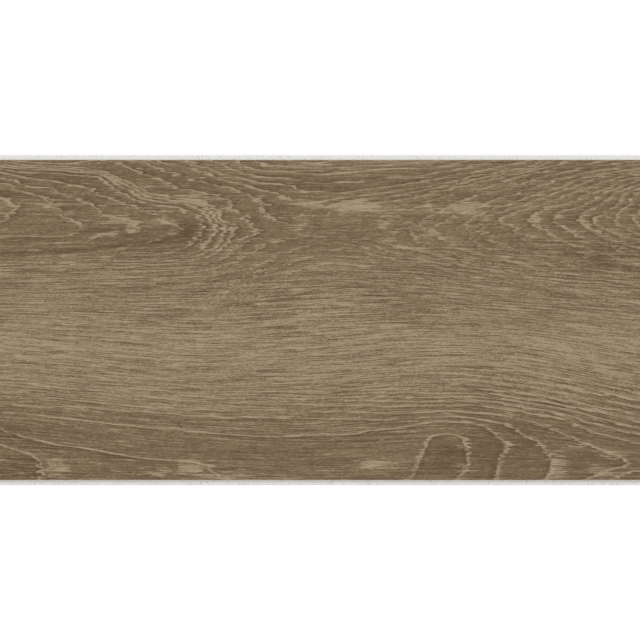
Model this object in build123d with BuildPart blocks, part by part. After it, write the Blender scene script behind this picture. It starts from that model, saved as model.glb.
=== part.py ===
"""Rigid core vinyl plank: one milled board with a fold-down locking edge on all four sides.

X runs along the plank, Y across it and Z up. The origin is the centre of the face outline, on the
underside. Sizes are in millimetres.
"""

import os
from math import sqrt

from build123d import *

# Face outline, edge to edge of the laid plank
FACE_LENGTH = 1219.0
FACE_WIDTH = 178.0
THICKNESS = 5.0
EDGE_EASE = 0.3  # small bevel around the face

# Locking edge. The tongue turns in about the top corner of the joint, so the tongue's belly and the
# bed that it slides on are arcs about that corner.
LOCK_RADIUS = 3.3  # from the top corner down to the tongue's belly
UPPER_LIP = 1.6  # board left above the groove
TONGUE_TIP = 0.7  # height of the tongue at its tip
TIP_CHAMFER = 0.25  # lead-in on the tip
BEAD_HEIGHT = 0.8  # the lower lip's bead, above the lowest point of the bed
BEAD_CREST = 0.4  # flat on top of the bead
BEAD_SLOPE = 0.6  # outer flank of the bead, as wide as it is high
LIP_CHAMFER = 0.2  # under the free end of the lower lip
CLEARANCE = 0.05  # between faces that bear on each other
RELIEF = 0.25  # between faces that never touch

corner_height = THICKNESS - EDGE_EASE  # where two laid planks meet

# Lower lip and bed of the groove side
bed_radius = LOCK_RADIUS + CLEARANCE
bed_low = corner_height - bed_radius
crest_height = bed_low + BEAD_HEIGHT
crest_inner = sqrt(bed_radius**2 - (bed_radius - BEAD_HEIGHT) ** 2)
crest_outer = crest_inner + BEAD_CREST
lip_reach = crest_outer + BEAD_SLOPE
lip_end_height = crest_height - BEAD_SLOPE

# Tongue
groove_roof = THICKNESS - UPPER_LIP
tongue_top = groove_roof - CLEARANCE
tip_low = tongue_top - TONGUE_TIP
tongue_reach = sqrt(LOCK_RADIUS**2 - (corner_height - tip_low) ** 2)
belly_low = corner_height - LOCK_RADIUS

# Back of the groove, behind the tongue's tip
groove_depth = tongue_reach + RELIEF
bed_back_height = corner_height - sqrt(bed_radius**2 - groove_depth**2)

# Notch behind the tongue, over the bead of the next plank
notch_roof = crest_height + CLEARANCE
notch_inner = sqrt(LOCK_RADIUS**2 - (corner_height - notch_roof) ** 2)
notch_outer = crest_outer + RELIEF
notch_reach = lip_reach + RELIEF


def locking_section(plane, face_size):
    """Section across one pair of edges, with the groove at the low edge and the tongue at the high one."""

    def groove(out, height):
        return (-face_size / 2 + out, height)

    def tongue(out, height):
        return (face_size / 2 + out, height)

    with BuildSketch(plane) as section:
        with BuildLine():
            underside = Polyline(
                groove(-lip_reach, lip_end_height),
                groove(-lip_reach, LIP_CHAMFER),
                groove(-lip_reach + LIP_CHAMFER, 0),
                tongue(-notch_reach, 0),
                tongue(-notch_reach, lip_end_height),
                tongue(-notch_outer, notch_roof),
                tongue(-notch_inner, notch_roof),
            )
            belly = ThreePointArc(underside @ 1, tongue(0, belly_low), tongue(tongue_reach, tip_low))
            face = Polyline(
                belly @ 1,
                tongue(tongue_reach, tongue_top - TIP_CHAMFER),
                tongue(tongue_reach - TIP_CHAMFER, tongue_top),
                tongue(0, tongue_top),
                tongue(0, corner_height),
                tongue(-EDGE_EASE, THICKNESS),
                groove(EDGE_EASE, THICKNESS),
                groove(0, corner_height),
                groove(0, groove_roof),
                groove(groove_depth, groove_roof),
                groove(groove_depth, bed_back_height),
            )
            bed = ThreePointArc(face @ 1, groove(0, bed_low), groove(-crest_inner, crest_height))
            Polyline(bed @ 1, groove(-crest_outer, crest_height), underside @ 0)
        make_face()
    return section.sketch


# The board is milled along its sides and then across its ends
with BuildPart() as plank:
    extrude(locking_section(Plane.YZ, FACE_WIDTH), amount=FACE_LENGTH, both=True)
    extrude(locking_section(Plane.XZ, FACE_LENGTH), amount=FACE_WIDTH, both=True, mode=Mode.INTERSECT)

    # At the two corners where a tongue side meets a groove side only the upper lip runs through
    corner_span = notch_reach + tongue_reach
    corner_depth = lip_reach + groove_depth
    tongue_end = (FACE_LENGTH / 2 - notch_reach, -FACE_WIDTH / 2 - lip_reach)
    groove_end = (-FACE_LENGTH / 2 - lip_reach, FACE_WIDTH / 2 - notch_reach)
    with Locations(tongue_end):
        Box(corner_span, corner_depth, groove_roof, align=Align.MIN, mode=Mode.SUBTRACT)
    with Locations(groove_end):
        Box(corner_depth, corner_span, groove_roof, align=Align.MIN, mode=Mode.SUBTRACT)

plank.part.label = "plank"

os.makedirs("parts", exist_ok=True)
export_step(plank.part, "parts/plank.step")
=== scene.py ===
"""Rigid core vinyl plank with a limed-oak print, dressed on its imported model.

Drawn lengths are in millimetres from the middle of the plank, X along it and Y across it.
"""

from math import radians
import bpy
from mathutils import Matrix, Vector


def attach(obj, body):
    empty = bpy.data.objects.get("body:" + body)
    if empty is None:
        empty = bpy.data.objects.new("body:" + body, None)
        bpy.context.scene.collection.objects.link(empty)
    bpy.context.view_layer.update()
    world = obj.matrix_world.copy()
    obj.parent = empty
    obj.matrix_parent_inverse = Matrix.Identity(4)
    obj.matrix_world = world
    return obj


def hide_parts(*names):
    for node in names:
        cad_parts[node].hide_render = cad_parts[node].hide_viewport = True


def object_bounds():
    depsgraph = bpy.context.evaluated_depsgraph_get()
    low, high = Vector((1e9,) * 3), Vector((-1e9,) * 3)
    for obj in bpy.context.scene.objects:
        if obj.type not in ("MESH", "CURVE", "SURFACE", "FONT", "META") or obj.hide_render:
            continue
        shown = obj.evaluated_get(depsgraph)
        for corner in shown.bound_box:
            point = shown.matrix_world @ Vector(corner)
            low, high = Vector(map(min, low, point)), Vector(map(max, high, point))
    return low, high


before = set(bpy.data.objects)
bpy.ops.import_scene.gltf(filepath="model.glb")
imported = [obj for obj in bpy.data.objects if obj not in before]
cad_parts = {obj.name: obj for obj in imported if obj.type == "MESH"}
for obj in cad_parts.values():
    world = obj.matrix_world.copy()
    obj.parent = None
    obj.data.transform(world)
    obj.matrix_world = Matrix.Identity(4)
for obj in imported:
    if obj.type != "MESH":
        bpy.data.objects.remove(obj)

from types import SimpleNamespace

import bmesh
import bpy
import numpy as np

bl_info = {
    "name": "Limed Oak Plank",
    "version": (1, 0, 0),
    "blender": (4, 5, 0),
    "location": "View3D > Sidebar > Plank",
    "description": "Dresses a rigid core plank with an embossed oak print and a milled core edge",
    "category": "Object",
}

MM = 0.001
CAD_LOW, CAD_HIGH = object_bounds()
FACE_HEIGHT = CAD_HIGH.z
EDGE_EASE = 0.3 * MM  # bevel around the face
TINY = 0.01 * MM  # smaller than any real size on the plank
FACING_UP = 0.3  # least rise of the normal on the printed side of the bevel

# Grid of the face. Its middle stretch is cut finest, because its rings turn most tightly. Each stretch is
# cut into as many parts as the first number says, and then each part into as many as the second.
FINE_REACH = 178 * MM  # half of the middle stretch
FINE_COLUMNS = (14, 16)
LONG_COLUMNS = (8, 11)
ROWS = (14, 16)

# Light lines of the printed oak: ring number, then places along the line. The numbers count outwards
# from the two hearts near the upper edge, down through the straight grain to the knots at the lower edge.
# A number that isn't whole is a guide between two rings, which steers them and has no line of its own.
RINGS = (
    (0, (
        (-612, 72.5), (-456, 74), (-317, 74.5), (-211, 74.5), (-192, 72), (-178, 68.5),
        (-172, 64.5), (-171, 60), (-174, 56), (-178, 54.5), (-192, 52.5), (-211, 50.5), (-317, 41),
        (-456, 36), (-612, 34.5)
    )),
    (1, (
        (-612, 77), (-456, 79), (-317, 79.5), (-211, 81), (-189, 78.5), (-178, 76), (-168, 72),
        (-159, 70), (-153, 67.5), (-150, 63.5), (-142, 59), (-141, 56.5), (-132, 52.5), (-132, 51),
        (-136, 49), (-146, 46.5), (-167, 46.5), (-178, 46), (-211, 44.5), (-317, 36.5), (-456, 31),
        (-612, 29)
    )),
    (2, (
        (-612, 82.5), (-456, 84.5), (-317, 84.5), (-211, 84), (-178, 79), (-168, 77), (-164, 74.5),
        (-152, 73.5), (-143, 70.5), (-131, 66), (-125, 64), (-124, 60.5), (-120, 58.5),
        (-113, 57.5), (-108, 55.5), (-104, 53.5), (-102, 50.5), (-105, 48.5), (-118, 47.5),
        (-129, 45), (-146, 42.5), (-167, 41.5), (-178, 41), (-211, 39.5)
    )),
    (3, (
        (-317, 89), (-211, 87), (-178, 82), (-161, 78.5), (-146, 77), (-139, 75), (-131, 74.5),
        (-127, 72.5), (-123, 70), (-117, 67.5), (-108, 64.5), (-96, 60.5), (-89, 57.5), (-84, 54.5),
        (-80, 52.5), (-78, 50), (-80, 48), (-85, 45.5), (-98, 43), (-119, 40.5), (-139, 39),
        (-164, 38.5), (-178, 38), (-211, 36), (-317, 29.5), (-456, 23), (-612, 20)
    )),
    (4, (
        (-195, 86), (-174, 83.5), (-167, 82.5), (-146, 81.5), (-132, 80), (-126, 79.5),
        (-121, 77.5), (-113, 72), (-108, 69), (-103, 67), (-89, 63.5), (-81, 63), (-76, 60.5),
        (-70, 58.5), (-66, 55), (-65, 51.5), (-67, 46.5), (-70, 43.5), (-73, 40.5), (-81, 38.5),
        (-111, 36), (-156, 34.5), (-178, 34), (-211, 33)
    )),
    (5, (
        (-178, 85.5), (-164, 84), (-144, 83.5), (-129, 82), (-122, 81), (-118, 79.5), (-114, 76.5),
        (-110, 73.5), (-105, 72), (-101, 69.5), (-89, 66), (-79, 65), (-70, 63), (-65, 60),
        (-62, 56.5), (-58.5, 53), (-58.5, 49.5), (-61, 45.5), (-63, 42.5), (-67, 39), (-74, 36.5),
        (-86, 35), (-106, 33), (-156, 31), (-211, 30)
    )),
    (6, (
        (-74, 66), (-67, 64.5), (-62.5, 62), (-58.5, 57), (-53, 52.5), (-53, 49), (-55.5, 45),
        (-57.5, 41.5), (-61.5, 38.5), (-67, 36), (-78, 34)
    )),
    (7, (
        (-178, 88), (-162, 86), (-146, 85.5), (-136, 85), (-127, 83.5), (-120, 82.5), (-116, 80.5),
        (-112, 78.5), (-102, 74.5), (-98, 72), (-93, 70), (-79, 67.5), (-72, 67), (-64, 65.5),
        (-60, 63), (-56, 56.5), (-48, 50), (-50, 46.5), (-51, 44), (-55, 40), (-60, 36.5),
        (-68, 34), (-81, 32), (-100, 30.5), (-156, 28), (-211, 27.5), (-317, 21), (-456, 13.5),
        (-612, 10)
    )),
    (7.5, (
        (-125, 86.5), (-113, 83), (-104, 79.5), (-98, 76.5), (-91, 73.8), (-80, 70.3), (-70, 68.9),
        (-61, 67.5)
    )),
    (8, (
        (-125, 89), (-112, 87), (-104, 83.5), (-98, 81), (-89, 77.5), (-85, 75.5), (-78, 73),
        (-62, 70.5), (-55, 68), (-51, 65), (-48, 61), (-43, 58), (-36, 50), (-42, 44), (-46, 39.5),
        (-51, 36), (-57, 33), (-67, 30.5), (-100, 27), (-156, 25), (-211, 24.5)
    )),
    (9, (
        (-106, 89), (-100, 88), (-92, 85.5), (-85, 82.5), (-73, 79), (-58, 75), (-42, 70),
        (-37, 68.5), (-33, 65.5), (-32, 62.5), (-29, 58.5), (-24, 55), (-15, 53), (-7, 50.5),
        (-15, 47.5), (-22, 45.5), (-28, 43), (-35, 40), (-39, 36.5), (-44, 33.5), (-51, 30.5),
        (-61, 28), (-100, 23.5), (-156, 21.5), (-211, 21.5), (-317, 15.5), (-456, 7), (-612, 3.5)
    )),
    (10, (
        (-89, 88.5), (-76, 85.5), (-63, 82), (-57, 78.5), (-44, 75.5), (-31, 72), (-19, 68),
        (-13, 66), (0, 65.5), (6, 67), (12, 68), (23, 69.5), (36, 71), (57, 74), (78, 78), (95, 81),
        (117, 85.5)
    )),
    (11, (
        (-76, 88.5), (-67, 86), (-60, 83), (-43, 79), (-36, 77), (-22, 75.5), (-10, 72), (0, 71.5),
        (12, 71), (21, 72), (39, 74), (52, 76), (75, 80), (95, 84.5), (114, 88.5)
    )),
    (12, (
        (-60, 88.5), (-52, 86), (-38, 80.5), (-29, 79), (-11, 77.5), (-1, 75.5), (14, 77),
        (24, 77.5), (32, 79.5), (39, 80), (58, 80.5), (75, 83.5), (95, 88)
    )),
    (13, (
        (-47, 88.5), (-41, 85.5), (-24, 83), (0, 81), (11, 82), (28, 83.5), (51, 84.5), (65, 85.5),
        (78, 87.5)
    )),
    (14, (
        (-36, 88.5), (-27, 86), (-7, 84.5), (11, 85), (32, 86), (50, 87.5), (67, 89)
    )),
    (15, (
        (-19, 89), (-8, 87.5), (0, 87.5), (8, 88.5)
    )),
    (8, (
        (142, 89), (128, 86), (106, 80.5), (89, 77), (75, 74), (62, 70.5), (47, 67.5), (31, 65),
        (20, 63.5), (8, 61.5), (4, 59), (3, 55), (4, 51), (11, 46.5), (22, 43), (36, 39), (50, 36),
        (80, 30.5), (122, 21.5), (178, 11), (211, 6), (323, -8.5), (462, -23.5), (612, -28)
    )),
    (7, (
        (161, 89), (139, 85.5), (117, 81), (100, 77), (83, 72.5), (67, 67.5), (50, 62.5), (40, 59),
        (34, 55.5), (32, 53), (36, 50), (35, 45), (38, 43.5), (44, 40.5), (60, 37.5), (78, 33),
        (103, 28), (117, 24), (178, 14)
    )),
    (6, (
        (184, 89), (163, 87), (145, 84), (128, 80.5), (117, 77.5), (104, 73.5), (92, 69.5),
        (79, 66), (71, 63.5), (65, 60.5), (60, 56.5), (53, 53.5), (51, 50), (55, 44), (60, 42),
        (71, 38), (85, 34), (122, 25.5), (178, 16.5)
    )),
    (5, (
        (200, 89), (172, 86), (151, 82.5), (140, 79.5), (128, 77), (112, 71.5), (104, 68.5),
        (97, 65.5), (89, 63.5), (81, 61), (75, 58), (67, 54), (63, 49.5), (65, 46.5), (75, 41.5),
        (95, 35.5), (134, 26), (178, 19.5)
    )),
    (4, (
        (200, 87), (178, 84.5), (160, 82), (149, 79), (139, 76), (121, 70.5), (115, 67.5),
        (108, 65), (98, 62), (91, 59.5), (85, 57), (80, 53.5), (81, 49.5), (85, 45.5), (90, 41.5),
        (111, 34), (145, 26.5), (178, 22)
    )),
    (3, (
        (200, 85), (178, 83), (163, 80.5), (151, 77.5), (141, 74.5), (123, 68), (116, 65),
        (108, 62.5), (93, 57.5), (90, 54), (91, 49.5), (97, 45), (112, 37.5), (142, 30), (178, 24.5)
    )),
    (2, (
        (267, 89), (200, 83.5), (178, 81), (167, 79), (157, 76.5), (146, 73), (136, 69.5),
        (128, 66.5), (118, 62.5), (111, 60.5), (105, 58), (100, 55), (103, 52.5), (108, 50),
        (116, 46.5), (121, 44), (128, 41), (150, 35), (160, 32), (178, 27.5), (211, 24), (323, 8.5),
        (462, -5.5), (612, -10)
    )),
    (1, (
        (200, 81.5), (178, 79.5), (163, 75), (146, 69), (136, 64.5), (128, 63), (122, 60),
        (117, 56.5), (118, 54), (122, 51), (126, 48.5), (132, 46), (159, 37), (178, 31.5)
    )),
    (0, (
        (200, 79.5), (178, 77.5), (169, 75), (160, 71.5), (150, 66), (137, 61), (132, 58.5),
        (131, 56), (137, 50.5), (141, 48.5), (149, 45.5), (178, 36.5)
    )),
    (-1, (
        (200, 77.5), (178, 75.5), (170, 73), (164, 70.5), (156, 64), (147, 58.5), (145, 55.5),
        (147, 52), (152, 49), (159, 46), (178, 40)
    )),
    (-2, (
        (434, 90), (323, 85.5), (200, 75), (178, 73.5), (173, 72), (167, 66.5), (165, 63.5),
        (159, 59.5), (154, 56.5), (154, 53.5), (158, 51), (170, 46), (178, 43.5), (211, 38),
        (323, 21), (462, 8), (612, 3)
    )),
    (-3, (
        (200, 72.5), (182, 72), (178, 70.5), (174, 67.5), (168, 60), (164, 56.5), (165, 53.5),
        (168, 51), (181, 45.5), (211, 40)
    )),
    (-4, (
        (612, 84.5), (462, 83.5), (323, 79), (200, 69.5), (185, 67.5), (180, 63.5), (176, 58.5),
        (176, 55), (179, 51.5), (186, 48.5), (211, 43), (323, 29), (462, 16.5), (612, 11)
    )),
    (-6, (
        (612, 76), (462, 75), (323, 70.5), (245, 63.5), (214, 55.5), (245, 49.5), (323, 39),
        (462, 26.5), (612, 20)
    )),
    (-8, (
        (612, 68), (462, 66), (350, 61.5), (295, 55), (350, 47.5), (462, 36), (612, 29)
    )),
    (-10, (
        (612, 59.5), (490, 58), (423, 52.5), (490, 45), (612, 38)
    )),
    (-1, (
        (-612, 69), (-456, 70), (-317, 70.5), (-245, 69), (-220, 64.5), (-210, 60.5), (-220, 56),
        (-245, 51.5), (-317, 46.5), (-456, 43), (-612, 41)
    )),
    (-3, (
        (-612, 63.5), (-456, 64), (-362, 63.5), (-317, 59.5), (-362, 54.5), (-456, 49.5),
        (-612, 47.5)
    )),
    (-5, (
        (-612, 59), (-534, 59), (-490, 56.5), (-534, 54), (-612, 52.5)
    )),
    (10, (
        (-178, 18.5), (-100, 20.5), (-61, 24), (-39, 29.5), (-22, 36), (-8, 41), (0, 42.5),
        (14, 39.5), (36, 35), (67, 29.5), (100, 23), (150, 13), (178, 8)
    )),
    (11, (
        (-178, 15.5), (-100, 16.5), (-61, 19.5), (-39, 24), (-19, 30.5), (-6, 35), (6, 35.5),
        (22, 33.5), (44, 29.5), (78, 23.5), (117, 16.5), (178, 4.5)
    )),
    (13, (
        (-612, -9.5), (-456, -4.5), (-317, 4), (-211, 9.5), (-178, 9.5), (-100, 9.5), (-61, 11),
        (-33, 15.5), (-11, 22), (11, 25), (44, 21), (89, 14.5), (134, 8), (178, -1.5)
    )),
    (15, (
        (-178, 0.5), (-100, -0.5), (-56, -0.5), (-17, 5), (17, 9.5), (56, 9), (100, 4.5), (145, -2),
        (178, -9), (323, -29.5), (462, -44.5), (612, -48.5)
    )),
    (18, (
        (-612, -28), (-456, -20), (-317, -11), (-211, -7), (-178, -8.5), (-100, -11), (-56, -11.5),
        (-11, -8.5), (22, -4.5), (61, -3.5), (106, -6.5), (150, -13.5), (178, -18)
    )),
    (21, (
        (-178, -16.5), (-122, -20), (-67, -22), (-11, -21), (28, -16.5), (67, -15), (111, -17),
        (156, -24), (178, -28.5), (323, -51), (462, -67), (612, -70)
    )),
    (24, (
        (-612, -45.5), (-456, -34.5), (-317, -24), (-211, -22), (-178, -23.5), (-122, -27),
        (-67, -30), (-11, -30.5), (28, -28), (67, -26), (111, -28.5), (156, -36.5), (178, -41),
        (323, -65.5), (462, -80), (612, -83.5)
    )),
    (27, (
        (-178, -30), (-139, -32.5), (-101, -35), (-56, -37.5), (-17, -38), (28, -38.5),
        (67, -38), (89, -38), (111, -40.5), (134, -44.5), (156, -48.5), (178, -53), (323, -77),
        (434, -91)
    )),
    (31, (
        (-612, -60), (-456, -45.5), (-317, -35.5), (-211, -35.5), (-178, -38.5), (-140, -40.5),
        (-101, -43), (-53, -45.5), (-21, -46), (11, -47.5), (39, -48), (66, -47.5), (86, -47.5),
        (100, -49), (109, -50.5), (125, -53.5), (136, -56), (154, -63), (178, -69), (211, -77.5)
    )),
    (32, (
        (-178, -42.5), (-134, -45.5), (-89, -48.5), (-58, -50.5), (-17, -51), (39, -52),
        (56, -51.5), (72, -50.5), (84, -51.5), (98, -53), (109, -54.5), (119, -57.5), (128, -60.5),
        (147, -68.5), (159, -73), (171, -78), (165, -82), (157, -84.5), (147, -89), (139, -93)
    )),
    (33, (
        (-178, -46), (-122, -50), (-81, -52), (-42, -54), (0, -55), (34, -55.5), (67, -54),
        (84, -54.5), (96, -56.5), (106, -59), (112, -63), (119, -67), (125, -72.5), (130, -78),
        (129, -83.5), (125, -89), (122, -94.5)
    )),
    (34, (
        (-612, -79), (-523, -62.5), (-428, -49), (-317, -43), (-211, -46.5), (-178, -50.5),
        (-155, -53.5), (-130, -56), (-101, -59.5), (-71, -62), (-45, -64), (-19, -64.5), (0, -64),
        (19, -63.5), (34, -61), (52, -58.5), (64, -56.5), (72, -56.5), (83, -57.5), (90, -59),
        (96, -62.5), (102, -67.5), (105, -71), (102, -75), (99, -82), (97, -89), (95, -95.5)
    )),
    (35, (
        (-567, -89), (-512, -72.5), (-428, -55.5), (-317, -46.5), (-211, -53), (-178, -60),
        (-170, -63.5), (-157, -67), (-148, -69), (-130, -71.5), (-111, -75), (-97, -77), (-83, -78),
        (-74, -78.5), (-66, -80), (-60, -83.5), (-52, -88), (-45, -92)
    )),
    (35, (
        (47, -95.5), (51, -87.5), (55, -78.5), (59, -68.5), (63, -64.5), (69, -63.5), (77, -64.5),
        (81, -67.5), (83, -73.5), (83, -80), (78, -87), (72, -94.5)
    )),
    (36, (
        (-512, -89), (-467, -72.5), (-400, -58), (-317, -51), (-211, -60.5), (-178, -69.5),
        (-168, -72.5), (-160, -75.5), (-156, -78.5), (-154, -82), (-154, -85.5), (-157, -89.5)
    )),
    (37, (
        (-445, -89), (-417, -75), (-373, -62.5), (-317, -56), (-261, -60), (-211, -75), (-195, -89)
    )),
    (39, (
        (-350, -89), (-317, -72.5), (-273, -89)
    )),
    (34.6, (
        (-22, -88), (-3, -89), (17, -87.5)
    )),
    (34.55, (
        (37, -94), (41, -87), (45.5, -78), (50, -69), (56, -62.3)
    )),
)

# Run of the fibres across the straight grain: height that the fibre starts from, then places along it
FIBRES = (
    (89, ((-610, 89), (-178, 89), (0, 89), (178, 89), (610, 89))),
    (50, ((-610, 50), (-178, 50), (0, 50), (178, 50), (610, 50))),
    (20, (
        (-610, 14), (-178, 20), (-90, 20), (-38, 22), (0, 25), (45, 23), (178, 11), (610, -14)
    )),
    (-10, (
        (-610, -26), (-178, -5), (-67, -12.5), (0, -10.5), (61, -7), (110, -9), (178, -18),
        (610, -44)
    )),
    (-45, (
        (-610, -52), (-178, -38), (-67, -47.5), (-11, -49), (67, -44), (111, -49), (178, -61),
        (610, -72)
    )),
    (-66, (
        (-610, -70), (-178, -57.5), (-94, -66), (-11, -70), (67, -66), (178, -74), (610, -80)
    )),
    (-89, ((-610, -89), (-178, -89), (0, -89), (178, -89), (610, -89))),
)

# Bands across the plank: height, then lift of the lightness, strength of the ring lines and of the fibres
BANDS = (
    (-89, -0.09, 1.0, 0.8),
    (-72, -0.10, 1.0, 0.8),
    (-58, -0.05, 0.9, 0.85),
    (-44, 0.06, 0.5, 0.9),
    (-30, 0.13, 0.25, 1.0),
    (-14, 0.20, 0.2, 1.0),
    (2, 0.13, 0.2, 1.0),
    (20, 0.05, 0.3, 1.0),
    (33, 0.0, 0.6, 0.9),
    (44, -0.08, 0.9, 0.65),
    (60, -0.06, 1.0, 0.6),
    (74, -0.08, 1.0, 0.6),
    (84, -0.09, 0.9, 0.65),
    (89, -0.09, 0.8, 0.7),
)

# Soft light and dark places: middle, half length, half width and lift
PLACES = (
    (30, 63, 40, 5, 0.12),
    (42, 88, 20, 3, 0.15),
    (-75, 48, 8, 8, -0.34),
    (-103, 48, 14, 4, -0.15),
    (89, -72, 9, 12, -0.12),
    (111, -70, 12, 12, -0.10),
    (70, -75, 9, 12, -0.10),
    (11, 76, 30, 4, -0.12),
    (-172, -62, 18, 5, -0.16),
    (-166, -80, 12, 6, -0.12),
    (-60, -48, 60, 8, 0.06),
    (65, 46, 22, 10, 0.10),
    (20, 86, 60, 5, 0.10),
    (130, 22, 80, 13, -0.05),
    (-165, -50, 25, 6, -0.07),
    (-170, -86, 25, 5, -0.06),
    (140, -80, 50, 12, -0.05),
    (110, 8, 60, 9, -0.08),
    (70, -78, 35, 14, -0.08),
    (-90, -49, 45, 7, 0.08),
    (-45, -58, 45, 6, 0.05),
    (-25, 86, 35, 4, 0.06),
    (140, 72, 60, 18, 0.025),
    (-90, -17, 45, 8, 0.05),
    (-90, -36, 45, 6, 0.03),
    (-22, -84, 22, 5, 0.05),
    (-110, 87, 25, 3, 0.05),
    (115, -51, 70, 9, -0.05),
)

# Limed patches: middle, half length, half width and strength
LIMED = (
    (22, 62.5, 15, 3, 1.0),
    (-72, 67, 13, 3, 0.6),
    (-6, 65, 9, 2, 0.5),
    (32, -80.5, 8.5, 3, 1.2),
    (-71, -82, 10, 3.8, 1.1),
    (-53, -87.5, 10, 2.2, 0.9),
    (-86, -83.5, 3.5, 1.5, 1.0),
    (-89, -86, 3, 1.2, 0.9),
    (-146.5, -82, 7.5, 3.8, 1.1),
    (132, -82, 5.5, 7, 0.9),
    (80, -70, 4.5, 3.5, 0.85),
    (79, -82, 5, 2.5, 0.8),
    (103, -70.5, 3, 3, 0.8),
    (-110, 55.5, 9, 2.5, 0.75),
    (-117, 57.5, 8, 2, 0.6),
    (-104, 51.5, 4, 3.5, 0.75),
    (-117, 49, 9, 1.6, 0.6),
    (-150, 63, 8, 2, 0.45),
    (-131, 65, 5, 2, 0.45),
    (-90, 58.5, 7, 1.8, 0.5),
    (-81, 51, 3.5, 3, 0.75),
    (-86, 54.5, 5, 1.6, 0.6),
    (-87, 47, 5, 1.4, 0.5),
    (-81.5, 48.6, 3.5, 1.3, 0.7),
    (-52, 52, 4, 4, 0.35),
    (-34, 66, 3, 3, 0.5),
    (-30, 57.5, 6, 2, 0.5),
    (-11, 51.5, 4, 1.8, 0.6),
    (36, 53, 4, 2.2, 0.8),
    (38, 45.5, 4.5, 2, 0.8),
    (45, 41, 5, 1.5, 0.6),
    (58, 49, 7, 2.5, 0.5),
    (119.5, 56, 3, 2.5, 0.65),
    (124.5, 51, 5, 1.6, 0.55),
    (133, 57.5, 3, 2, 0.65),
    (134, 53, 3, 2.5, 0.6),
    (139, 49.5, 4, 1.8, 0.55),
    (150, 54, 3.5, 4, 0.4),
    (158, 51, 4, 2.5, 0.4),
    (163, -75.2, 9, 2.2, 1.1),
    (157, -84, 8, 2.4, 0.95),
    (146, -69.5, 8, 1.6, 0.7),
    (70, 62, 14, 2.5, 0.4),
    (84, 60.5, 11, 2.6, 0.5),
    (88, 64, 12, 3, 0.35),
)

# Dark veins: half width and depth, then places along the vein
VEINS = (
    (1.2, 0.40, ((-190, 37), (-146, 38), (-127, 39), (-107, 42), (-89, 43.5), (-80, 47))),
    (1.3, 0.30, ((140, 37.5), (151, 34.5), (160, 31), (178, 28), (240, 22))),
    (0.7, 0.20, ((-89, 20), (-66, 19.5), (-55, 22), (-38, 25))),
    (0.7, 0.20, ((-75, 8), (-55, 7), (-39, 9.5), (-21, 11))),
    (1.0, 0.18, ((-150, -51), (-107, -53), (-75, -55.5), (-45, -56), (0, -54))),
    (0.8, 0.16, ((-178, 84), (-140, 81), (-118, 78))),
)

# Places where the ring lines are faint, or bold: middle, half length, half width and the share of their
# strength that is lost, or gained where it is below 0
FAINT = (
    (0, 50, 14, 12, 0.5),
    (-130, 38, 60, 7, 0.75),
    (26, 54, 26, 16, 0.4),
    (130, 55, 90, 40, 0.46),
    (-55, 50, 20, 20, -0.45),
    (-140, 80, 50, 8, -0.3),
    (95, -78, 60, 22, -0.15),
    (150, -44, 60, 15, -0.8),
    (85, -49, 32, 6, -0.8),
    (52, -78, 5, 9, 0.2),
    (130, 55, 35, 7, -0.45),
    (-130, -70, 60, 14, -0.35),
    (160, -77, 16, 8, -0.6),
)

# Places where the ring lines run smooth across the fibres: middle, half length, half width and share
SMOOTH = (
    (95, -80, 60, 30, 0.55),
    (-110, -70, 90, 16, 0.8),
    (-150, 82, 50, 7, 0.7),
    (150, 65, 70, 30, 0.4),
    (-52, 48, 20, 16, 0.2),
    (52, -78, 9, 12, 0.4),
    (68, -63, 16, 6, 0.4),
    (165, -78, 14, 8, 0.4),
)

# Curly fibres: middle, half length, half width and reach of the curls
CURLY = (
    (-47, 18, 18, 13, 3.6),
    (-35, 30, 20, 8, 2.4),
)

BOLDEST = 2.5  # most that a bold place strengthens a ring line
VEIN_FADE = 4  # how many times slower a vein fades at its ends than at its sides

# Maps of the print, stored three to an attribute on the face
MAPS = {
    "grain": ("ring", "ring_x", "ring_y"),
    "print_map": ("height", "lift", "strength"),
    "marks": ("limed", "ragged", "fibrous"),
}

# Ring lines pressed into the face, in millimetres
GROOVE_HALF_WIDTH = 0.9
GROOVE_MARGIN = 0.7  # flat left beside the bevel
GROOVE_FADE = 2.0  # from the margin to full depth
FLATTEST = 0.02  # least slope that counts, in rings per millimetre
SHALLOWEST = 0.02  # least share of the depth that is pressed

# Patterns of the print
GRID_TURN = radians(33)  # of a pattern's own grid, away from the fibres
SEED_STEPS = (3.7, 5.3, 1.0)  # shift of a pattern for each seed
MIDDLE = 0.5  # of a pattern that runs from 0 to 1
USUAL_SPAN = {"From Min": 0.3, "From Max": 0.7}  # where soft streaks mostly stay
WANDER = 1.8 * MM  # of the fibres, across their run
PULL_SPAN = 0.25  # how far the soft pull of the fibres mostly strays from its middle
COMB_SHARE = 0.4  # crisp pull of the fibres, beside the soft pull
MOST_DRAWN = 1.25  # rings, at most, that the fibres draw a line out
SWAY = 4.0  # rings that the faintest lines sway through

# A ring line: its half widths where it crosses the fibres and where it runs along them, how many half
# widths its profile reaches to each side, and the profile from the inner to the outer side, with dark
# wood outside the light line
LINE_HALF_WIDTHS = (1.2 * MM, 0.44 * MM, 0)
PROFILE_REACH = 5
LINE_PROFILE = (
    (0.0, 0.46),
    (0.20, 0.48),
    (0.34, 0.48),
    (0.43, 0.80),
    (0.50, 1.0),
    (0.57, 0.78),
    (0.62, 0.27),
    (0.68, 0.28),
    (0.82, 0.40),
    (1.0, 0.46),
)

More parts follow.
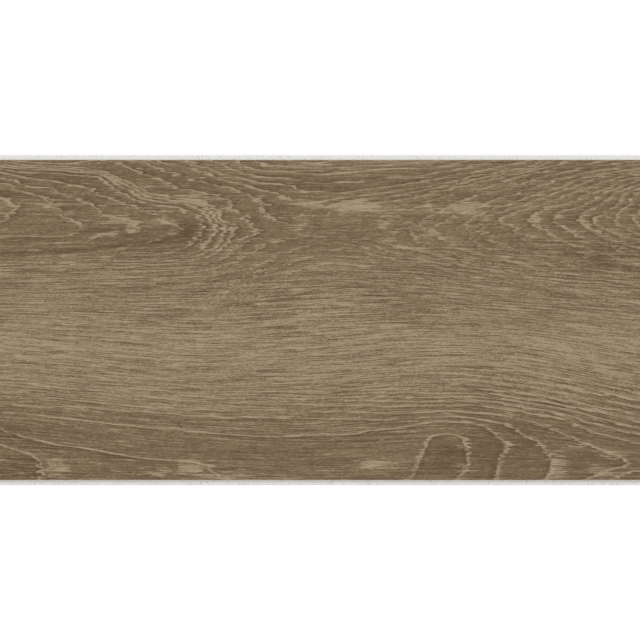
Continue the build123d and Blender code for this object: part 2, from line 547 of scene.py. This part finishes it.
# Lightness of the print, from 0 in the darkest wood to 1 in the lime
STREAK_SHARES = (0.55, 1.0, 0.68)  # of plain, long and short fibres
STREAK_MIDDLE = 1.075  # usual sum of the fibres and the pores
PORE_DEPTH = 0.42
FLAKE_SHARE = 0.42
CLOUD_SHARE = 0.35
BASE_TONE = 0.14
LIME_FRAY = 1.6  # how far the fibres fray a limed patch, as a share of its strength
LIME_LIFT = 0.4

# Core: film at the top of the milled edge, grit and cutter lines
FILM_DEPTH = 0.6 * MM
FILM_BLUR = 0.1 * MM
GRIT_SIZE = 0.8 * MM  # really 0.1 to 0.2 mm, drawn coarser so that it shows
CUTTER_LENGTH = 9 * MM
CUTTER_WIDTH = 0.25 * MM

# Studio, in metres
FLOOR_SIZE = 12
FLOOR_DROP = 0.05 * MM  # keeps the floor out of the plane of the underside
GLOW_NEAR = 0.8
GLOW_FAR = 3.0
SOFTBOX_LENGTH = 3.6
SOFTBOX_WIDTH = 0.9
SOFTBOX_OUT = 0.95
SOFTBOX_HEIGHT = 1.9
SOFTBOX_TILT = radians(27)
SENSOR_WIDTH = 36  # of the camera, in millimetres


def linear(code):
    """Linear colour of an sRGB hex value."""
    parts = [int(code[i : i + 2], 16) / 255 for i in (1, 3, 5)]
    return tuple(c / 12.92 if c <= 0.04045 else ((c + 0.055) / 1.055) ** 2.4 for c in parts)


class PlankFinish(bpy.types.PropertyGroup):
    """Colours and grain sizes of the plank."""

    oak_shadow: bpy.props.FloatVectorProperty(
        name="Oak Shadow",
        description="Darkest tone of the printed oak",
        subtype="COLOR",
        default=linear("#604B2C"),
    )
    oak_body: bpy.props.FloatVectorProperty(
        name="Oak Body",
        description="Middle tone of the printed oak",
        subtype="COLOR",
        default=linear("#857051"),
    )
    oak_lime: bpy.props.FloatVectorProperty(
        name="Limed Grain",
        description="Lightest tone of the printed oak, in its limed rings",
        subtype="COLOR",
        default=linear("#B19D80"),
    )
    core_body: bpy.props.FloatVectorProperty(
        name="Core",
        description="Body of the stone-plastic core",
        subtype="COLOR",
        default=linear("#F6F4EF"),
    )
    core_grit: bpy.props.FloatVectorProperty(
        name="Core Grit",
        description="Specks of filler in the core",
        subtype="COLOR",
        default=linear("#D3CEC3"),
    )
    fibre_length: bpy.props.FloatProperty(
        name="Fibre Length",
        description="Length of the printed fibres",
        default=10 * MM,
        unit="LENGTH",
    )
    fibre_width: bpy.props.FloatProperty(
        name="Fibre Width",
        description="Width of the printed fibres",
        default=0.48 * MM,
        unit="LENGTH",
    )
    ragged_reach: bpy.props.FloatProperty(
        name="Ragged Reach",
        description="How far the fibres draw out a ring line that crosses them",
        default=3.4 * MM,
        unit="LENGTH",
    )
    emboss_depth: bpy.props.FloatProperty(
        name="Emboss Depth",
        description="Depth of the ring lines pressed into the face",
        default=0.1 * MM,
        unit="LENGTH",
    )


class PlankStudio(bpy.types.PropertyGroup):
    """Camera, lights and floor."""

    shown_length: bpy.props.FloatProperty(
        name="Shown Length",
        description="Length of plank across the picture",
        default=356 * MM,
        unit="LENGTH",
    )
    lens: bpy.props.FloatProperty(
        name="Lens",
        description="Focal length of the camera in millimetres",
        default=85,
        unit="CAMERA",
    )
    side_power: bpy.props.FloatProperty(
        name="Side Lights",
        description="Power of each long softbox",
        default=19.5,
        unit="POWER",
    )
    sky_level: bpy.props.FloatProperty(
        name="Room Light",
        description="Even light from all round",
        default=0.3,
        subtype="FACTOR",
    )
    floor_tone: bpy.props.FloatVectorProperty(
        name="Floor",
        description="Plain pale floor",
        subtype="COLOR",
        default=linear("#E6E6E6"),
    )


def node(tree, kind, inputs=None, stops=(), **settings):
    """Add a shader node, with its settings, its ramp stops and the values or links of its sockets."""
    made = tree.nodes.new(kind)
    for name, value in settings.items():
        setattr(made, name, value)
    for socket, value in (inputs or {}).items():
        if isinstance(value, bpy.types.NodeSocket):
            tree.links.new(value, made.inputs[socket])
        else:
            made.inputs[socket].default_value = value
    for i, (position, colour) in enumerate(stops):
        elements = made.color_ramp.elements
        stop = elements[i] if i < 2 else elements.new(position)
        stop.position = position
        stop.color = (*colour, 1)
    return made.outputs


def along_fibres(tree, plane, length, width, seed):
    """Plane in metres, stretched so that a round pattern on it comes out so long and so wide.

    It is turned after it is stretched, so that the pattern's own grid makes no steps across the fibres.
    """
    return node(
        tree,
        "ShaderNodeMapping",
        {
            "Vector": plane,
            "Scale": (1 / length, 1 / width, 1),
            "Rotation": (0, 0, GRID_TURN),
            "Location": tuple(seed * step for step in SEED_STEPS),
        },
    )[0]


def strands(tree, plane, length, width, seed, detail=0.0):
    """Soft streaks from 0 to 1."""
    stretched = along_fibres(tree, plane, length, width, seed)
    return node(tree, "ShaderNodeTexNoise", {"Vector": stretched, "Scale": 1.0, "Detail": detail})[0]


def slivers(tree, plane, length, width, seed):
    """Crisp slivers, each of one value from 0 to 1."""
    stretched = along_fibres(tree, plane, length, width, seed)
    return node(
        tree, "ShaderNodeTexVoronoi", {"Vector": stretched, "Scale": 1.0}, voronoi_dimensions="2D"
    )["Color"]


def read_maps(tree):
    """Maps of the print, from the attributes of the face."""
    found = {"curl": node(tree, "ShaderNodeAttribute", attribute_name="curl")["Fac"]}
    for attribute, names in MAPS.items():
        vector = node(tree, "ShaderNodeAttribute", attribute_name=attribute)["Vector"]
        found.update(zip(names, node(tree, "ShaderNodeSeparateXYZ", {0: vector}).values()))
    return SimpleNamespace(**found)


def fibre_patterns(tree, maps, finish):
    """Patterns that follow the fibres, which wander a little everywhere and curl in a few places."""
    place = node(tree, "ShaderNodeTexCoord")["Object"]
    along = node(tree, "ShaderNodeSeparateXYZ", {0: place})[0]
    straight = node(tree, "ShaderNodeCombineXYZ", {0: along, 1: maps.height})[0]
    cloud = strands(tree, straight, length=60 * MM, width=6 * MM, seed=4, detail=2.0)
    patch = strands(tree, straight, length=20 * MM, width=3 * MM, seed=6)
    swirl = strands(tree, straight, length=4 * MM, width=1.9 * MM, seed=8, detail=1.0)
    low = node(tree, "ShaderNodeMath", {0: maps.height, 1: WANDER / 2}, operation="SUBTRACT")[0]
    wander = node(tree, "ShaderNodeMath", {0: cloud, 1: WANDER, 2: low}, operation="MULTIPLY_ADD")[0]
    twist = node(tree, "ShaderNodeMath", {0: swirl, 1: MIDDLE}, operation="SUBTRACT")[0]
    run = node(tree, "ShaderNodeMath", {0: twist, 1: maps.curl, 2: wander}, operation="MULTIPLY_ADD")[0]
    plane = node(tree, "ShaderNodeCombineXYZ", {0: along, 1: run})[0]

    length, width = finish.fibre_length, finish.fibre_width
    fibre = strands(tree, plane, length, width, seed=1)
    streaky = node(
        tree, "ShaderNodeMapRange", {"Value": fibre, **USUAL_SPAN, "To Min": 0.55, "To Max": 1.45}
    )[0]
    pull = strands(tree, plane, length * 1.4, width * 4, seed=5, detail=1.0)
    comb = slivers(tree, plane, length * 0.6, width * 2.4, seed=9)
    combed = node(tree, "ShaderNodeMath", {0: comb, 1: COMB_SHARE, 2: pull}, operation="MULTIPLY_ADD")[0]
    drawn = node(tree, "ShaderNodeMath", {0: combed, 1: (1 + COMB_SHARE) / 2}, operation="SUBTRACT")[0]
    return SimpleNamespace(
        cloud=cloud,
        patch=patch,
        fibre=fibre,
        long_fibre=strands(tree, plane, length * 4, width * 1.2, seed=2),
        short_fibre=strands(tree, plane, length * 0.11, width * 0.85, seed=3),
        pore=strands(tree, plane, length * 2.4, width * 0.8, seed=7),
        flake=slivers(tree, plane, length * 0.18, width * 1.2, seed=10),
        streaky=streaky,
        drawn=drawn,
    )


def fibre_tone(tree, maps, pattern):
    """Lightness of the plain wood: fibres, pores, flakes and soft clouds."""
    streaks = node(
        tree, "ShaderNodeCombineXYZ", {0: pattern.fibre, 1: pattern.long_fibre, 2: pattern.short_fibre}
    )[0]
    streaked = node(
        tree, "ShaderNodeVectorMath", {0: streaks, 1: STREAK_SHARES}, operation="DOT_PRODUCT"
    )["Value"]
    pores = node(
        tree, "ShaderNodeMapRange", {"Value": pattern.pore, "From Min": 0.60, "From Max": 0.68}
    )[0]
    pored = node(
        tree, "ShaderNodeMath", {0: pores, 1: -PORE_DEPTH, 2: streaked}, operation="MULTIPLY_ADD"
    )[0]
    level = node(tree, "ShaderNodeMath", {0: pored, 1: STREAK_MIDDLE}, operation="SUBTRACT")[0]
    toned = node(
        tree, "ShaderNodeMath", {0: level, 1: maps.fibrous, 2: maps.lift}, operation="MULTIPLY_ADD"
    )[0]
    flaked = node(
        tree, "ShaderNodeMath", {0: pattern.flake, 1: FLAKE_SHARE, 2: toned}, operation="MULTIPLY_ADD"
    )[0]
    clouded = node(
        tree, "ShaderNodeMath", {0: pattern.cloud, 1: CLOUD_SHARE, 2: flaked}, operation="MULTIPLY_ADD"
    )[0]
    return node(tree, "ShaderNodeMath", {0: clouded, 1: BASE_TONE}, operation="ADD")[0]


def ring_lines(tree, maps, pattern, finish):
    """Lift of the light ring lines and drop of the dark wood beside them.

    The fibres draw a line out where it crosses them, and a faint line sways.
    """
    tilt = node(tree, "ShaderNodeMath", {0: maps.ring_x}, operation="ABSOLUTE")[0]
    pull_reach = finish.ragged_reach / PULL_SPAN
    stretch = node(tree, "ShaderNodeMath", {0: tilt, 1: pull_reach}, operation="MULTIPLY")[0]
    capped = node(tree, "ShaderNodeMath", {0: stretch, 1: MOST_DRAWN}, operation="MINIMUM")[0]
    reach = node(tree, "ShaderNodeMath", {0: capped, 1: maps.ragged}, operation="MULTIPLY")[0]
    torn = node(
        tree, "ShaderNodeMath", {0: pattern.drawn, 1: reach, 2: maps.ring}, operation="MULTIPLY_ADD"
    )[0]
    faint = node(
        tree, "ShaderNodeMath", {0: 1.0, 1: maps.strength}, operation="SUBTRACT", use_clamp=True
    )[0]
    sway = node(
        tree, "ShaderNodeMath", {0: pattern.cloud, 1: SWAY, 2: -SWAY / 2}, operation="MULTIPLY_ADD"
    )[0]
    swayed = node(tree, "ShaderNodeMath", {0: sway, 1: faint, 2: torn}, operation="MULTIPLY_ADD")[0]

    # Distance from the nearest line, in half widths of the line
    offset = node(tree, "ShaderNodeMath", {0: swayed, 1: 0.5, 2: -0.5}, operation="WRAP")[0]
    slope = node(tree, "ShaderNodeCombineXYZ", {0: maps.ring_x, 1: maps.ring_y})[0]
    wide = node(tree, "ShaderNodeVectorMath", {0: slope, 1: LINE_HALF_WIDTHS}, operation="MULTIPLY")[0]
    steep = node(tree, "ShaderNodeVectorMath", {0: wide}, operation="LENGTH")["Value"]
    from_line = node(tree, "ShaderNodeMath", {0: offset, 1: steep}, operation="DIVIDE")[0]
    across = node(
        tree,
        "ShaderNodeMapRange",
        {"Value": from_line, "From Min": -PROFILE_REACH, "From Max": PROFILE_REACH},
    )[0]
    greys = [(position, (tone, tone, tone)) for position, tone in LINE_PROFILE]
    line = node(tree, "ShaderNodeValToRGB", {0: across}, greys)[0]
    lift = node(tree, "ShaderNodeMath", {0: line, 1: MIDDLE}, operation="SUBTRACT")[0]

    # A line that isn't smooth is worn in patches and broken by the fibres
    worn = node(
        tree, "ShaderNodeMapRange", {"Value": pattern.patch, **USUAL_SPAN, "To Min": 0.45, "To Max": 1.55}
    )[0]
    bitten = node(tree, "ShaderNodeMath", {0: worn, 1: pattern.streaky}, operation="MULTIPLY")[0]
    broken = node(tree, "ShaderNodeMix", {0: maps.ragged, 2: 1.0, 3: bitten})[0]
    depth = node(tree, "ShaderNodeMath", {0: broken, 1: maps.strength}, operation="MULTIPLY")[0]
    return node(tree, "ShaderNodeMath", {0: lift, 1: depth}, operation="MULTIPLY")[0]


def limed_patches(tree, maps, pattern):
    """Lift of the limed patches, frayed and streaked by the fibres."""
    frayed = node(
        tree, "ShaderNodeMath", {0: pattern.drawn, 1: LIME_FRAY, 2: maps.limed}, operation="MULTIPLY_ADD"
    )[0]
    soaked = node(
        tree,
        "ShaderNodeMapRange",
        {"Value": frayed, "From Min": 0.30, "From Max": 0.55, "To Max": LIME_LIFT},
    )[0]
    return node(tree, "ShaderNodeMath", {0: soaked, 1: pattern.streaky}, operation="MULTIPLY")[0]


def printed_oak(finish):
    """Matt vinyl wear layer over a print of limed oak.

    The eye gets a low, even sheen, pale lime in the ring lines with ragged ends where they cross the
    fibres, dark wood beside them, and short dark pores along the fibres.
    """
    material = bpy.data.materials.new("printed_limed_oak_vinyl")
    material.use_nodes = True
    tree = material.node_tree
    tree.nodes.clear()

    maps = read_maps(tree)
    pattern = fibre_patterns(tree, maps, finish)
    wood = fibre_tone(tree, maps, pattern)
    lines = ring_lines(tree, maps, pattern, finish)
    lime = limed_patches(tree, maps, pattern)
    lined = node(tree, "ShaderNodeMath", {0: wood, 1: lines}, operation="ADD")[0]
    tone = node(tree, "ShaderNodeMath", {0: lined, 1: lime}, operation="ADD")[0]
    shades = ((0.0, finish.oak_shadow), (0.5, finish.oak_body), (1.0, finish.oak_lime))
    colour = node(tree, "ShaderNodeValToRGB", {0: tone}, shades)[0]
    rough = node(
        tree, "ShaderNodeMapRange", {"Value": pattern.fibre, **USUAL_SPAN, "To Min": 0.46, "To Max": 0.58}
    )[0]
    relief = node(tree, "ShaderNodeBump", {"Strength": 0.35, "Distance": 0.15 * MM, "Height": tone})[0]
    surface = node(
        tree,
        "ShaderNodeBsdfPrincipled",
        {"Base Color": colour, "Roughness": rough, "Specular IOR Level": 0.35, "Normal": relief},
    )[0]
    node(tree, "ShaderNodeOutputMaterial", {"Surface": surface})
    return material


def milled_core(finish):
    """Stone-plastic core: limestone flour in rigid vinyl, extruded and milled.

    The eye gets a dull pale body with fine grit, faint cutter lines along the milled edges, and the
    brown edge of the film at the top.
    """
    material = bpy.data.materials.new("milled_stone_plastic_core")
    material.use_nodes = True
    tree = material.node_tree
    tree.nodes.clear()

    place = node(tree, "ShaderNodeTexCoord")["Object"]
    up = node(tree, "ShaderNodeSeparateXYZ", {0: place})[2]
    grit = node(tree, "ShaderNodeTexNoise", {"Vector": place, "Scale": 1 / GRIT_SIZE, "Detail": 1.0})[0]
    shades = ((0.30, finish.core_grit), (0.42, finish.core_body))
    specks = node(tree, "ShaderNodeValToRGB", {0: grit}, shades)[0]
    film_low = FACE_HEIGHT - FILM_DEPTH
    film = node(
        tree, "ShaderNodeMapRange", {"Value": up, "From Min": film_low - FILM_BLUR, "From Max": film_low}
    )[0]
    colour = node(
        tree, "ShaderNodeMix", {0: film, 6: specks, 7: (*finish.oak_body, 1)}, data_type="RGBA"
    )[2]
    cuts = node(
        tree,
        "ShaderNodeVectorMath",
        {0: place, 1: (1 / CUTTER_LENGTH, 1 / CUTTER_LENGTH, 1 / CUTTER_WIDTH)},
        operation="MULTIPLY",
    )[0]
    cutter_lines = node(tree, "ShaderNodeTexNoise", {"Vector": cuts, "Scale": 1.0, "Detail": 1.0})[0]
    relief = node(
        tree, "ShaderNodeBump", {"Strength": 0.3, "Distance": 0.1 * MM, "Height": cutter_lines}
    )[0]
    surface = node(
        tree,
        "ShaderNodeBsdfPrincipled",
        {"Base Color": colour, "Roughness": 0.7, "IOR": 1.5, "Normal": relief},
    )[0]
    node(tree, "ShaderNodeOutputMaterial", {"Surface": surface})
    return material


def fill_in(line, squeeze, step):
    """Places along a drawn line, close enough together to hold a field to it."""
    places = []
    for (x0, y0), (x1, y1) in zip(line, line[1:]):
        parts = int(np.hypot((x1 - x0) * squeeze, y1 - y0) / step) + 1
        for i in range(parts):
            places.append((x0 + (x1 - x0) * i / parts, y0 + (y1 - y0) * i / parts))
    return places + [line[-1]]


def smooth_field(lines, x, y, squeeze=0.4, softness=2.2, slack=0.08, step=8, batch=2000):
    """Smooth field that is level along each drawn line, with its slopes, at the given places.

    The plank is squeezed along its length, because the grain runs that way. Softness rounds the field
    near a line, slack lets it miss a line a little, and step is how far apart a line holds it.
    """
    filled = [(level, place) for level, line in lines for place in fill_in(line, squeeze, step)]
    levels = np.array([level for level, place in filled], float)
    centres = np.array([place for level, place in filled], float) * (squeeze, 1)
    count = len(centres)
    reach = np.sqrt(((centres[:, None] - centres) ** 2).sum(2) + softness**2)
    plane = np.c_[np.ones(count), centres]
    system = np.block([[reach - slack * np.eye(count), plane], [plane.T, np.zeros((3, 3))]])
    weights = np.linalg.solve(system, np.r_[levels, np.zeros(3)])
    pull, tilt = weights[:count], weights[count:]

    at = np.c_[x * squeeze, y]
    value = np.empty(len(at))
    slopes = np.empty((len(at), 2))
    for start in range(0, len(at), batch):
        part = slice(start, start + batch)
        away_x = at[part, None, 0] - centres[:, 0]
        away_y = at[part, None, 1] - centres[:, 1]
        distance = np.sqrt(away_x**2 + away_y**2 + softness**2)
        value[part] = distance @ pull + tilt[0] + at[part] @ tilt[1:]
        slopes[part, 0] = ((away_x / distance) @ pull + tilt[1]) * squeeze
        slopes[part, 1] = (away_y / distance) @ pull + tilt[2]
    return value, slopes


def soft_places(places, x, y):
    """Sum of soft oval places."""
    total = np.zeros(len(x))
    for x0, y0, half_length, half_width, lift in places:
        total += lift * np.exp(-(((x - x0) / half_length) ** 2) - ((y - y0) / half_width) ** 2)
    return total


def veins(x, y):
    """Depth of the dark veins."""
    total = np.zeros(len(x))
    for half_width, depth, line in VEINS:
        nearest = np.full(len(x), np.inf)
        for (x0, y0), (x1, y1) in zip(line, line[1:]):
            share = ((x - x0) * (x1 - x0) + (y - y0) * (y1 - y0)) / ((x1 - x0) ** 2 + (y1 - y0) ** 2)
            share = np.clip(share, 0, 1)
            away = np.hypot((x - x0 - share * (x1 - x0)) / VEIN_FADE, y - y0 - share * (y1 - y0))
            nearest = np.minimum(nearest, away)
        total += depth * np.exp(-((nearest / half_width) ** 2))
    return total


def pick_edges(board, test):
    """Select the edges whose two ends pass a test."""
    cage = bmesh.from_edit_mesh(board.data)
    bpy.ops.mesh.select_all(action="DESELECT")
    for edge in cage.edges:
        edge.select_set(test(*(v.co for v in edge.verts)))
    bmesh.update_edit_mesh(board.data)


def cut_face(board):
    """Cut the face and its bevel into a fine grid."""
    bevel_low = FACE_HEIGHT - EDGE_EASE - TINY

    def lengthwise(fine):
        def test(a, b):
            level = min(a.z, b.z) > bevel_low and abs(a.y - b.y) < TINY
            inside = abs(a.x + b.x) / 2 < FINE_REACH
            return level and inside == fine and abs(a.x - b.x) > TINY

        return test

    def crosswise(a, b):
        level = min(a.z, b.z) > bevel_low and abs(a.x - b.x) < TINY
        return level and abs(a.z - b.z) < TINY and abs(a.y - b.y) > TINY

    bpy.ops.mesh.select_mode(type="FACE")
    for side in (-1, 1):
        cage = bmesh.from_edit_mesh(board.data)
        bpy.ops.mesh.select_all(action="DESELECT")
        for face in cage.faces:
            face.select_set(min(v.co.z for v in face.verts) > bevel_low)
        bmesh.update_edit_mesh(board.data)
        bpy.ops.mesh.bisect(plane_co=(side * FINE_REACH, 0, 0), plane_no=(1, 0, 0))
    bpy.ops.mesh.select_mode(type="EDGE")
    cuts = [(lengthwise(True), FINE_COLUMNS), (lengthwise(False), LONG_COLUMNS), (crosswise, ROWS)]
    for test, counts in cuts:
        for count in counts:
            pick_edges(board, test)
            bpy.ops.mesh.subdivide(number_cuts=count - 1, ngon=True)


def print_grain(board):
    """Store the maps of the print on the face, and how far each place on it is pressed in."""
    mesh = board.data
    places = np.empty(len(mesh.vertices) * 3)
    mesh.vertices.foreach_get("co", places)
    x, y, z = places.reshape(-1, 3).T / MM
    ring, slopes = smooth_field(RINGS, x, y)
    height, _ = smooth_field(FIBRES, x, y, softness=20)
    heights, lifts, lines, fibres = zip(*BANDS)
    strength = np.interp(y, heights, lines) * np.clip(1 - soft_places(FAINT, x, y), 0, BOLDEST)

    # Rings are counted per metre and heights are in metres, as Object coordinates are
    maps = {
        "ring": ring,
        "ring_x": slopes[:, 0] / MM,
        "ring_y": slopes[:, 1] / MM,
        "height": height * MM,
        "lift": np.interp(y, heights, lifts) + soft_places(PLACES, x, y) - veins(x, y),
        "strength": strength,
        "limed": soft_places(LIMED, x, y),
        "ragged": np.clip(1 - soft_places(SMOOTH, x, y), 0, 1),
        "fibrous": np.interp(y, heights, fibres),
    }
    for attribute, names in MAPS.items():
        vectors = np.stack([maps[name] for name in names], axis=1)
        layer = mesh.attributes.new(attribute, "FLOAT_VECTOR", "POINT")
        layer.data.foreach_set("vector", vectors.astype(np.float32).ravel())
    curl = mesh.attributes.new("curl", "FLOAT", "POINT")
    curl.data.foreach_set("value", (soft_places(CURLY, x, y) * MM).astype(np.float32))

    # Ring lines are pressed in, fading out before the bevel
    on_face = z > (FACE_HEIGHT - TINY) / MM
    from_line = (ring - np.round(ring)) / np.maximum(np.hypot(*slopes.T), FLATTEST)
    inside_x = np.abs(x[on_face]).max() - np.abs(x)
    inside_y = np.abs(y[on_face]).max() - np.abs(y)
    fade = np.clip((np.minimum(inside_x, inside_y) - GROOVE_MARGIN) / GROOVE_FADE, 0, 1)
    pressed = on_face * strength * fade * np.exp(-((from_line / GROOVE_HALF_WIDTH) ** 2))
    group = board.vertex_groups.new(name="emboss")
    for i in np.flatnonzero(pressed > SHALLOWEST):
        group.add([int(i)], float(pressed[i]), "REPLACE")


class PLANK_OT_board(bpy.types.Operator):
    """Make the plank: the milled board with its printed and embossed face"""

    bl_idname = "plank.board"
    bl_label = "Plank"

    def execute(self, context):
        finish = context.scene.plank_finish
        bpy.ops.object.select_all(action="DESELECT")
        board = bpy.data.objects.new("limed_oak_plank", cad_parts["plank"].data.copy())
        context.collection.objects.link(board)
        board.select_set(True)
        context.view_layer.objects.active = board

        bpy.ops.object.mode_set(mode="EDIT")
        bpy.ops.mesh.select_all(action="SELECT")
        bpy.ops.mesh.remove_doubles(threshold=0.001 * MM)
        bpy.ops.mesh.dissolve_limited(angle_limit=radians(0.5))
        cut_face(board)
        bpy.ops.object.mode_set(mode="OBJECT")

        print_grain(board)
        press = board.modifiers.new("emboss", "DISPLACE")
        press.direction = "Z"
        press.mid_level = 0
        press.strength = -finish.emboss_depth
        press.vertex_group = "emboss"
        bpy.ops.object.modifier_apply(modifier=press.name)
        bpy.ops.object.shade_smooth_by_angle(angle=radians(35))

        board.data.materials.clear()
        board.data.materials.append(milled_core(finish))
        board.data.materials.append(printed_oak(finish))
        for face in board.data.polygons:
            on_top = face.center.z > FACE_HEIGHT - EDGE_EASE
            face.material_index = int(on_top and face.normal.z > FACING_UP)
        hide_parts("plank")
        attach(board, "root")
        return {"FINISHED"}


class PLANK_OT_studio(bpy.types.Operator):
    """Make the floor, the room light, the two long softboxes and the camera above the plank"""

    bl_idname = "plank.studio"
    bl_label = "Studio"

    def execute(self, context):
        studio = context.scene.plank_studio
        scene = context.scene
        scene.view_settings.view_transform = "Standard"

        bpy.ops.object.select_all(action="DESELECT")
        bpy.ops.mesh.primitive_plane_add(size=FLOOR_SIZE, location=(0, 0, -FLOOR_DROP))
        floor = context.active_object
        floor.name = "studio_floor"
        floor.data.materials.append(pale_floor(studio))

        for side in (-1, 1):
            lamp = bpy.data.lights.new("long_softbox", "AREA")
            lamp.shape = "RECTANGLE"
            lamp.size = SOFTBOX_LENGTH
            lamp.size_y = SOFTBOX_WIDTH
            lamp.energy = studio.side_power
            softbox = bpy.data.objects.new("long_softbox", lamp)
            softbox.location = (0, side * SOFTBOX_OUT, SOFTBOX_HEIGHT)
            softbox.rotation_euler = (-side * SOFTBOX_TILT, 0, 0)
            context.collection.objects.link(softbox)

        scene.world = pale_room(studio)

        camera_data = bpy.data.cameras.new("overhead_camera")
        camera_data.lens = studio.lens
        camera_data.sensor_width = SENSOR_WIDTH
        camera = bpy.data.objects.new("overhead_camera", camera_data)
        distance = studio.shown_length * camera_data.lens / camera_data.sensor_width
        camera.location = (0, 0, FACE_HEIGHT + distance)
        context.collection.objects.link(camera)
        scene.camera = camera
        return {"FINISHED"}


def pale_floor(studio):
    """Plain painted floor. Seen directly it is lifted to white, and it keeps the plank's shadow."""
    material = bpy.data.materials.new("pale_studio_floor")
    material.use_nodes = True
    tree = material.node_tree
    tree.nodes.clear()
    rays = node(tree, "ShaderNodeLightPath")
    seen = node(
        tree,
        "ShaderNodeMath",
        {0: rays["Is Camera Ray"], 1: rays["Is Glossy Ray"]},
        operation="MAXIMUM",
    )[0]
    shown = node(tree, "ShaderNodeMath", {0: seen, 1: rays["Is Transmission Ray"]}, operation="MAXIMUM")[0]
    place = node(tree, "ShaderNodeTexCoord")["Object"]
    away = node(tree, "ShaderNodeVectorMath", {0: place}, operation="LENGTH")["Value"]
    lift = node(
        tree,
        "ShaderNodeMapRange",
        {"Value": away, "From Min": GLOW_NEAR, "From Max": GLOW_FAR, "To Min": 0.45, "To Max": 0.95},
    )[0]
    glow = node(tree, "ShaderNodeMath", {0: shown, 1: lift}, operation="MULTIPLY")[0]
    surface = node(
        tree,
        "ShaderNodeBsdfPrincipled",
        {
            "Base Color": (*studio.floor_tone, 1),
            "Roughness": 0.9,
            "Emission Color": (1, 1, 1, 1),
            "Emission Strength": glow,
        },
    )[0]
    node(tree, "ShaderNodeOutputMaterial", {"Surface": surface})
    return material


def pale_room(studio):
    """Even room light, white where it is seen directly."""
    world = bpy.data.worlds.new("pale_room")
    world.use_nodes = True
    tree = world.node_tree
    tree.nodes.clear()
    rays = node(tree, "ShaderNodeLightPath")
    seen = node(
        tree,
        "ShaderNodeMath",
        {0: rays["Is Camera Ray"], 1: rays["Is Transmission Ray"]},
        operation="MAXIMUM",
    )[0]
    level = node(tree, "ShaderNodeMapRange", {"Value": seen, "To Min": studio.sky_level, "To Max": 1.0})[0]
    sky = node(tree, "ShaderNodeBackground", {"Color": (1, 1, 1, 1), "Strength": level})[0]
    node(tree, "ShaderNodeOutputWorld", {"Surface": sky})
    return world


class PLANK_PT_sidebar(bpy.types.Panel):
    """Lists the plank's settings and its operators"""

    bl_idname = "PLANK_PT_sidebar"
    bl_label = "Limed Oak Plank"
    bl_space_type = "VIEW_3D"
    bl_region_type = "UI"
    bl_category = "Plank"

    def draw(self, context):
        for group, operator in (("plank_finish", PLANK_OT_board), ("plank_studio", PLANK_OT_studio)):
            settings = getattr(context.scene, group)
            for name in settings.__annotations__:
                self.layout.prop(settings, name)
            self.layout.operator(operator.bl_idname)


CLASSES = (PlankFinish, PlankStudio, PLANK_OT_board, PLANK_OT_studio, PLANK_PT_sidebar)


def register():
    for cls in CLASSES:
        bpy.utils.register_class(cls)
    bpy.types.Scene.plank_finish = bpy.props.PointerProperty(type=PlankFinish)
    bpy.types.Scene.plank_studio = bpy.props.PointerProperty(type=PlankStudio)


def unregister():
    del bpy.types.Scene.plank_studio
    del bpy.types.Scene.plank_finish
    for cls in reversed(CLASSES):
        bpy.utils.unregister_class(cls)


def main():
    register()
    bpy.ops.plank.board()
    bpy.ops.plank.studio()


if __name__ == "__main__":
    main()
